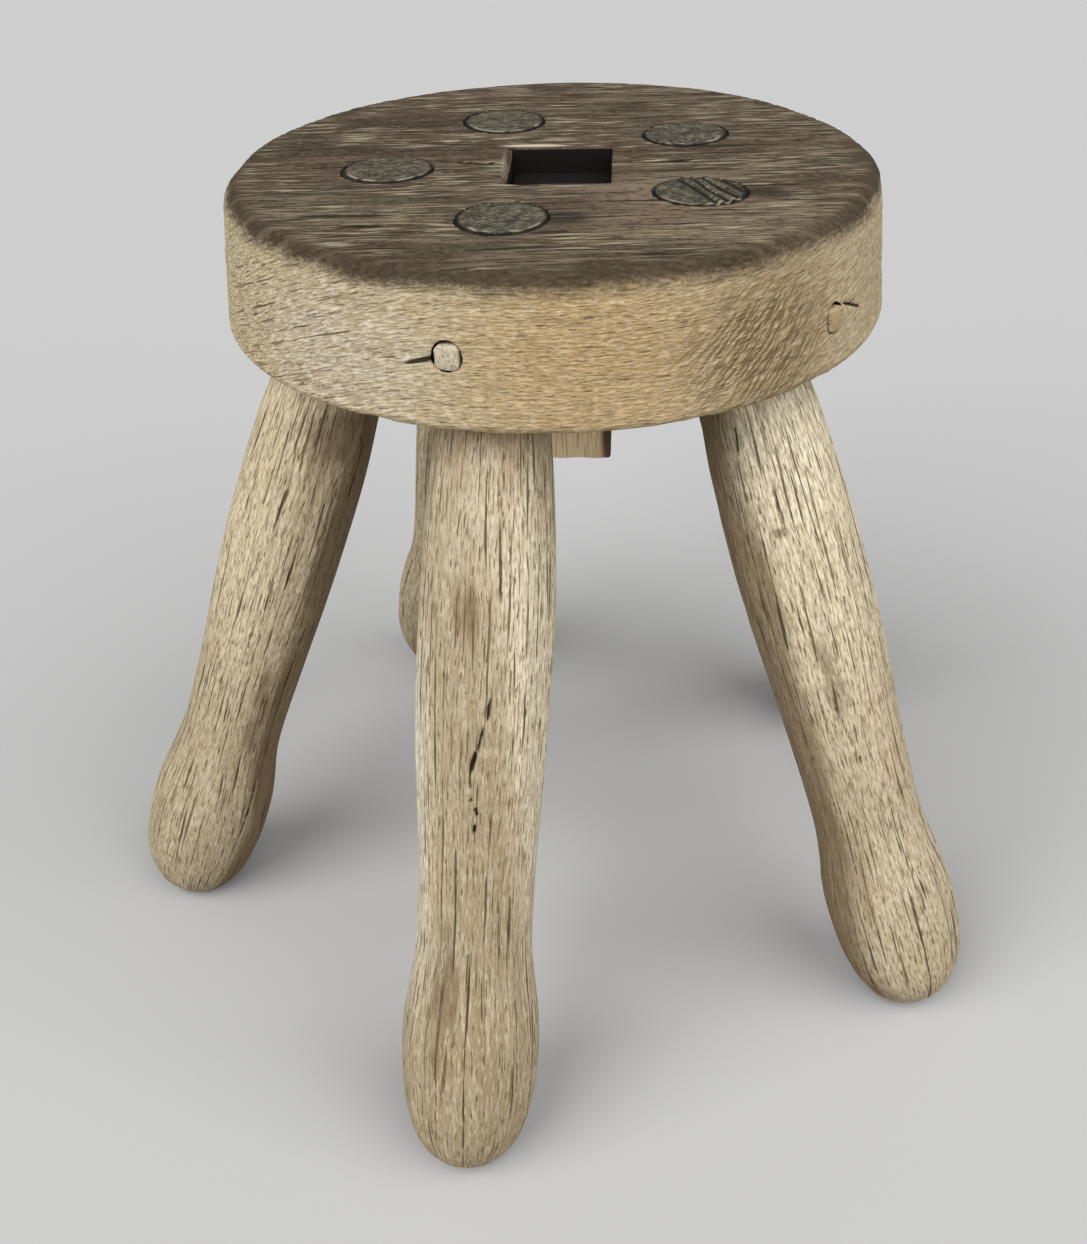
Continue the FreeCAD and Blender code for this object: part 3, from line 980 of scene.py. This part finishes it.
def make_seat(oak):
    slab = make_object("seat_slab", seat_slab())
    cutters = (tenon_holes(), peg_bores(), block_hole(0), block_hole(POCKET_WEAR))
    for cutter in cutters:
        cut = slab.modifiers.new(cutter.name, "BOOLEAN")
        cut.object = cutter
        cut.solver = "MANIFOLD"
    bm = bmesh.new()
    bm.from_object(slab, bpy.context.evaluated_depsgraph_get())
    for thing in (slab, *cutters):
        bpy.data.objects.remove(thing)
    bm.normal_update()
    hollow = bm.verts.layers.float.new("hollow")
    round_edge = bm.loops.layers.float_vector.new("round_edge")
    hole_shade = bm.faces.layers.float.new("hole_shade")
    for face in bm.faces:
        centre = face.calc_center_median()
        in_hole = outside(centre) < EDGE_SHARE and UNDERSIDE + HAIR < centre.z < SEAT_TOP - HAIR
        # Walls of the holes below their mouths, painted near-black as shade
        face[hole_shade] = smooth(SEAT_TOP, SEAT_TOP - HOLE_SHADE_RUN, centre.z) if in_hole else 0.0
        on_top = face.normal.z >= 0.99
        on_underside = face.normal.z < -0.9
        if not on_top:
            for corner in face.loops:
                place = corner.vert.co
                corner[round_edge] = place if on_underside else edge_grain(place, centre)
    for vertex in bm.verts:
        place = vertex.co.copy()
        on_edge = outside(place) > EDGE_SHARE
        if on_edge or place.z > SEAT_TOP - HAIR or place.z < UNDERSIDE + HAIR:
            facing = vertex.normal if on_edge else UP * math.copysign(1, place.z - SEAT_MIDDLE.z)
            rise, pore = seat_relief(place, facing)
            crack = seat_crack_depth(place)
            vertex[hollow] = min(crack, 1.0)
            rise -= max(PORE_DEPTH * smooth(0.12, 0.5, pore), crack)
            vertex.co += facing * rise * MM
    show("seat_worn", bm, (oak,), "seat")


# Lock pegs and centre block

def roughened(bm, cuts, height, size):
    """Divides a piece's faces and gives them unevenness of a height and size in millimetres."""
    bmesh.ops.subdivide_edges(bm, edges=bm.edges, cuts=cuts, use_grid_fill=True)
    bm.normal_update()
    for vertex in bm.verts:
        vertex.co += vertex.normal * height * MM * noise.noise(vertex.co / (size * MM))


def make_peg(name, oak):
    inner, outer = peg_line(name)
    length = (outer - inner).length
    bm = bmesh.new()
    place = Matrix.Translation((0, 0, length / 2)) @ Matrix.Diagonal((PEG_FACE, PEG_FACE, length, 1))
    bmesh.ops.create_cube(bm, size=1, matrix=place)
    long_edges = [edge for edge in bm.edges if abs(edge.verts[0].co.z - edge.verts[1].co.z) > HAIR]
    bmesh.ops.bevel(
        bm, geom=long_edges, offset=PEG_PARING, affect="EDGES", segments=3, profile=0.5, material=-1
    )
    ends = [edge for edge in bm.edges if abs(edge.verts[0].co.z - edge.verts[1].co.z) < HAIR]
    bmesh.ops.bevel(
        bm, geom=ends, offset=PEG_END_ROUND, affect="EDGES", segments=2, profile=0.5, material=-1
    )
    driven = Matrix.Translation(PEG_SAG) @ along_line(inner, outer, 0)
    bmesh.ops.transform(bm, matrix=driven, verts=bm.verts)
    roughened(bm, cuts=6, height=0.35, size=2.2)
    show("peg_" + name + "_split", bm, (oak,), "peg_" + name)


def make_block(oak):
    size = (BLOCK_WIDTH, BLOCK_DEPTH, BLOCK_HIGH.z - BLOCK_LOW.z, 1)
    bm = bmesh.new()
    place = Matrix.Translation(BLOCK_MIDDLE) @ Matrix.Rotation(BLOCK_TURN, 4, "Z") @ Matrix.Diagonal(size)
    bmesh.ops.create_cube(bm, size=1, matrix=place)
    bmesh.ops.bevel(
        bm, geom=bm.edges[:], offset=BLOCK_ARRIS, affect="EDGES", segments=3, profile=0.5, material=-1
    )
    roughened(bm, cuts=24, height=0.3, size=5)
    show("centre_block_sawn", bm, (oak,), "centre_block")


# Floor, light and camera

def make_floor():
    bm = bmesh.new()
    bmesh.ops.create_grid(bm, x_segments=1, y_segments=1, size=FLOOR_REACH)
    floor = make_object("floor", bm)
    material = blank_material("pale_grey_floor")
    tree = material.node_tree
    seen = add(tree, "LightPath", {}).outputs["Is Camera Ray"]
    colour = painted(tree, FLOOR_BOUNCE, ((seen, FLOOR_SEEN),))
    shader = add(tree, "BsdfDiffuse", {"Color": colour})
    add(tree, "OutputMaterial", {"Surface": shader.outputs[0]})
    floor.data.materials.append(material)


def make_light():
    for name, azimuth, elevation, width, strength in LAMPS:
        lamp = bpy.data.lights.new(name, "SUN")
        lamp.energy = strength * math.pi
        lamp.angle = math.radians(width)
        thing = bpy.data.objects.new(name, lamp)
        thing.rotation_euler = (math.radians(90 - elevation), 0, math.radians(azimuth))
        bpy.context.scene.collection.objects.link(thing)
    world = bpy.data.worlds.new("studio")
    world.use_nodes = True
    bpy.context.scene.world = world
    tree = world.node_tree
    tree.nodes.clear()
    path = add(tree, "LightPath", {})
    seen = path.outputs["Is Camera Ray"]
    for ray in ("Is Glossy Ray", "Is Transmission Ray"):
        seen = add(tree, "Math", {0: seen, 1: path.outputs[ray]}, operation="ADD").outputs[0]
    fill = add(tree, "Background", {"Color": (1, 1, 1, 1), "Strength": FILL_LEVEL})
    backdrop = add(tree, "Background", {"Color": linear(BACKDROP), "Strength": 1.0})
    both = add(tree, "MixShader", {0: seen, 1: fill.outputs[0], 2: backdrop.outputs[0]})
    add(tree, "OutputWorld", {"Surface": both.outputs[0]})
    bpy.context.scene.view_settings.view_transform = "Standard"


def make_camera():
    camera = bpy.data.objects.new("camera", bpy.data.cameras.new("camera"))
    camera.data.lens = CAMERA_LENS
    turn = Matrix.Rotation(CAMERA_TURN, 4, "Z") @ Matrix.Rotation(CAMERA_TILT, 4, "X")
    camera.matrix_world = Matrix.Translation(CAMERA_PLACE) @ turn @ Matrix.Rotation(CAMERA_ROLL, 4, "Z")
    bpy.context.scene.collection.objects.link(camera)
    bpy.context.scene.camera = camera


make_camera()
make_light()
make_floor()
make_seat(slab_oak())
shaft_oak, end_oak = shaved_oak(), tenon_end_oak()
for number, name in enumerate(LEG_NAMES):
    make_leg(name, number, shaft_oak, end_oak)
split_oak = peg_oak()
for name in LEG_NAMES:
    make_peg(name, split_oak)
make_block(block_oak())
